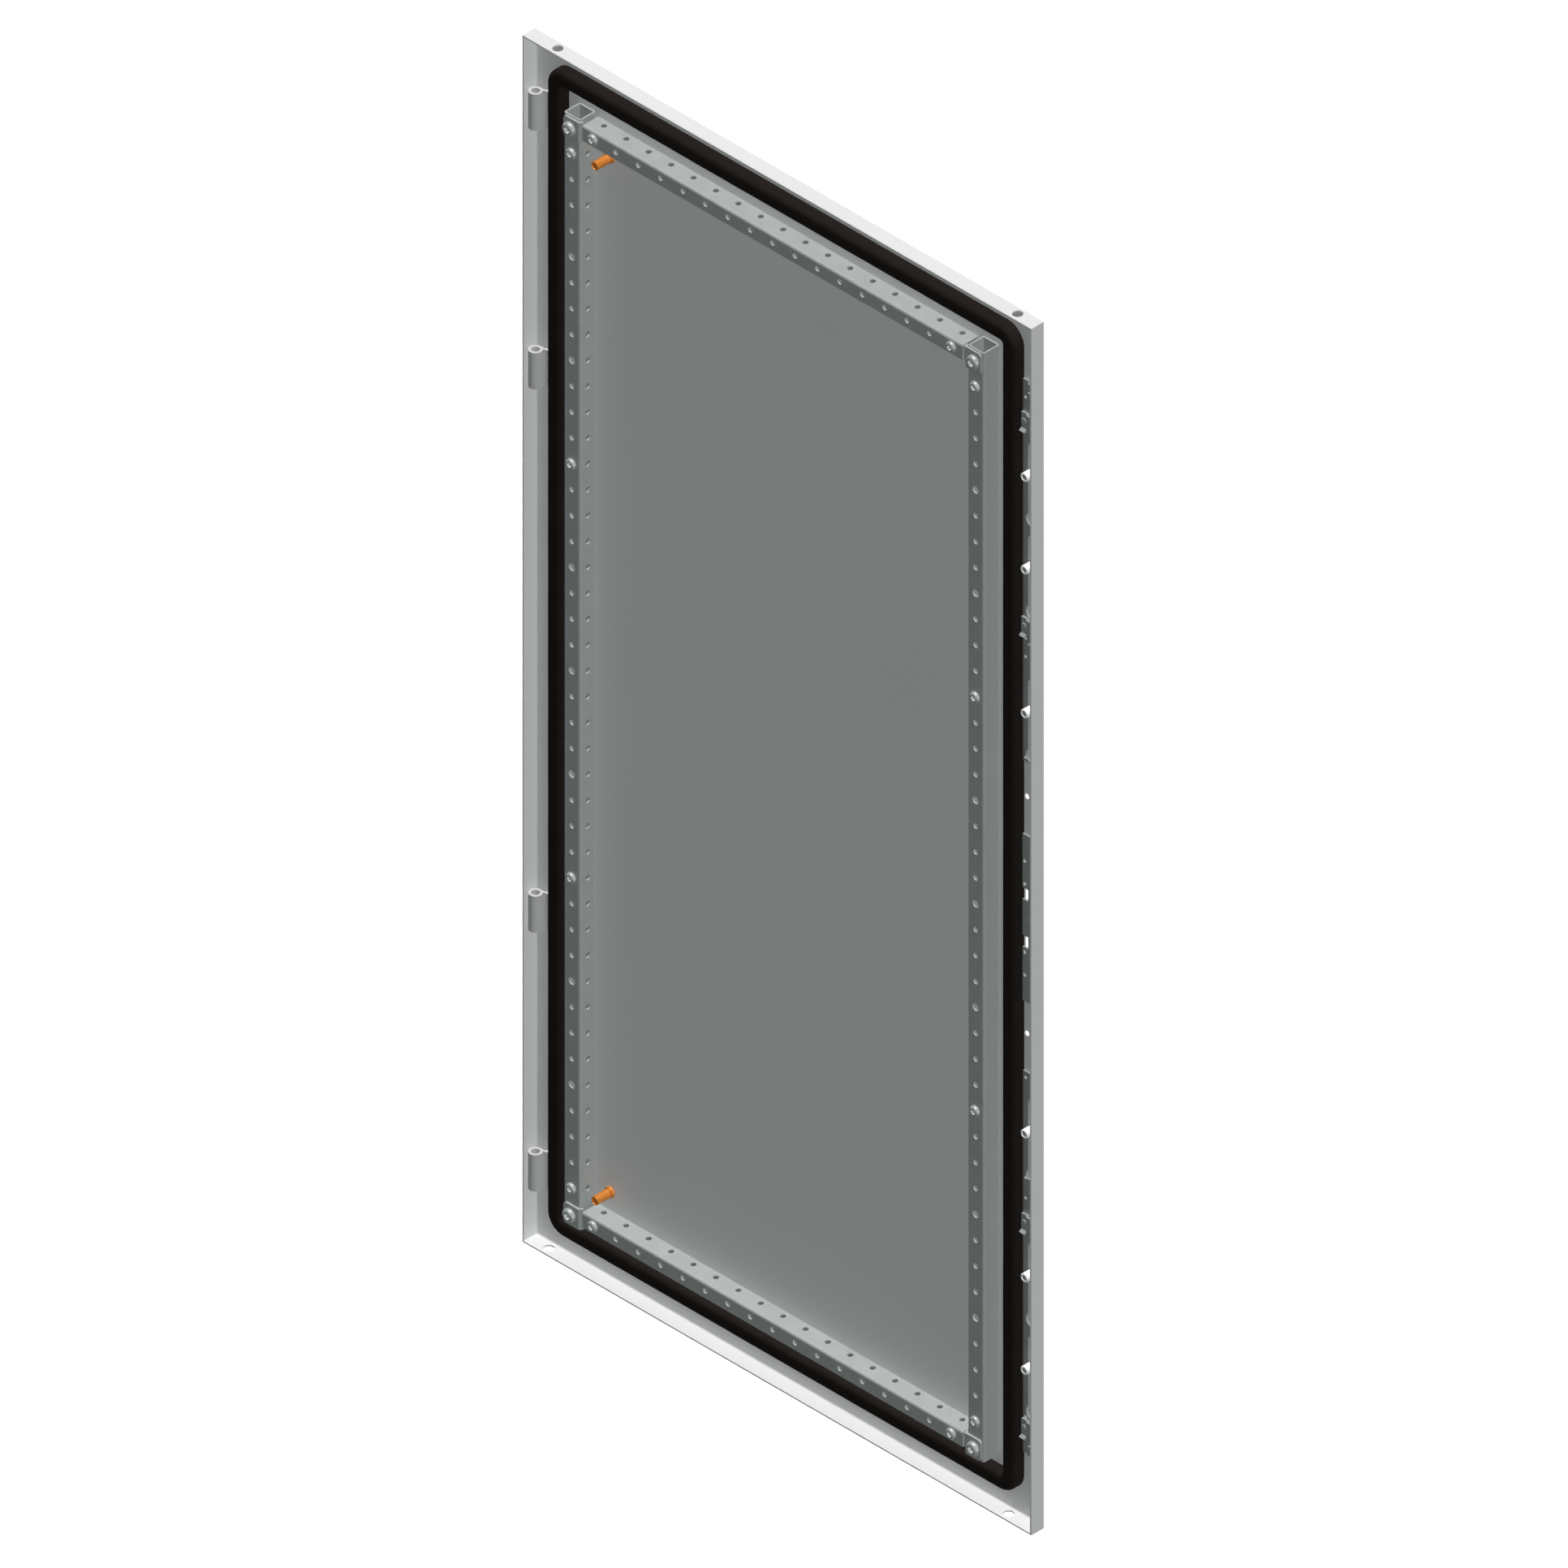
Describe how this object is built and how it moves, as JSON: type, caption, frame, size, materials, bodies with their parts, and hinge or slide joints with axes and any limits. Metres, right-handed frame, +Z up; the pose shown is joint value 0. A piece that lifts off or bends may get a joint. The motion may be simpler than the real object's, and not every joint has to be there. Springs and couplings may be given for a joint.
{
  "type": "enclosure door leaf",
  "caption": "Sheet steel enclosure door leaf with folded edges, foam seal, perforated stiffening frame, rolled hinge eyes and a sliding lock bar driven by a turned pinion.",
  "frame": {"origin": "bottom centre of the whole part's box, on the plane of the bottom edge", "axes": "+Z up along the hinge edge, +X from the hinge edge towards the lock edge, +Y towards the outside of the enclosure; the gasket and frame face -Y"},
  "size_m": [0.568, 0.0274, 1.166],
  "materials": {
    "painted_sheet": "satin light grey powder coat",
    "foam_seal": "matt foamed polyurethane",
    "zinc_sheet": "galvanised",
    "screw_zinc": "zinc plated",
    "copper_plate": "copper plated",
    "white_nylon": "smooth moulded",
    "lock_steel": "zinc plated",
    "lock_die_cast": "nickel plated die casting"
  },
  "bodies": {
    "door_leaf": {"door_panel": "painted_sheet", "gasket": "foam_seal", "left_tube": "zinc_sheet", "right_tube": "zinc_sheet", "bottom_rail": "zinc_sheet", "top_rail": "zinc_sheet", "corner_bracket_left_bottom": "zinc_sheet", "corner_bracket_left_top": "zinc_sheet", "corner_bracket_right_bottom": "zinc_sheet", "corner_bracket_right_top": "zinc_sheet", "tube_screws": "screw_zinc", "tube_bushes": "screw_zinc", "rail_screws": "screw_zinc", "rail_nuts": "screw_zinc", "corner_screws": "screw_zinc", "corner_nuts": "screw_zinc", "hinge_eye_1": "painted_sheet", "hinge_eye_2": "painted_sheet", "hinge_eye_3": "painted_sheet", "hinge_eye_4": "painted_sheet", "hinge_rivets": "screw_zinc", "earth_stud_bottom": "copper_plate", "earth_stud_top": "copper_plate", "guide_studs": "lock_steel", "guide_sleeves": "white_nylon", "lock_plate": "lock_steel", "lock_barrel": "lock_die_cast"},
    "lock_bar": {"drive_rack": "lock_steel", "upper_lock_bar": "lock_steel", "upper_link_bar": "lock_steel", "lower_link_bar": "lock_steel", "lower_lock_bar": "lock_steel", "lock_catch_1": "lock_steel", "lock_catch_2": "lock_steel", "lock_catch_3": "lock_steel", "lock_catch_4": "lock_steel", "catch_rivets": "screw_zinc", "bar_joint_upper": "lock_steel", "bar_joint_lower": "lock_steel", "rack_joint_upper": "lock_steel", "rack_joint_lower": "lock_steel", "bar_end_clips": "lock_steel"},
    "spindle": {"lock_spindle": "lock_die_cast", "lock_pinion": "lock_steel"}
  },
  "joints": [
    {"name": "lock_bar_slide", "type": "slide", "parent": "door_leaf", "child": "lock_bar", "axis": [0, 0, -1], "range_m": [0, 0.0102]},
    {"name": "lock_spindle_turn", "type": "hinge", "parent": "door_leaf", "child": "spindle", "pos_m": [0.26965, 0.0117, 0.583], "axis": [0, 1, 0], "range_deg": [0, 90]}
  ],
  "couplings": [
    {"joint": "lock_spindle_turn", "follows": "lock_bar_slide", "rad_per_m": 153.85}
  ]
}
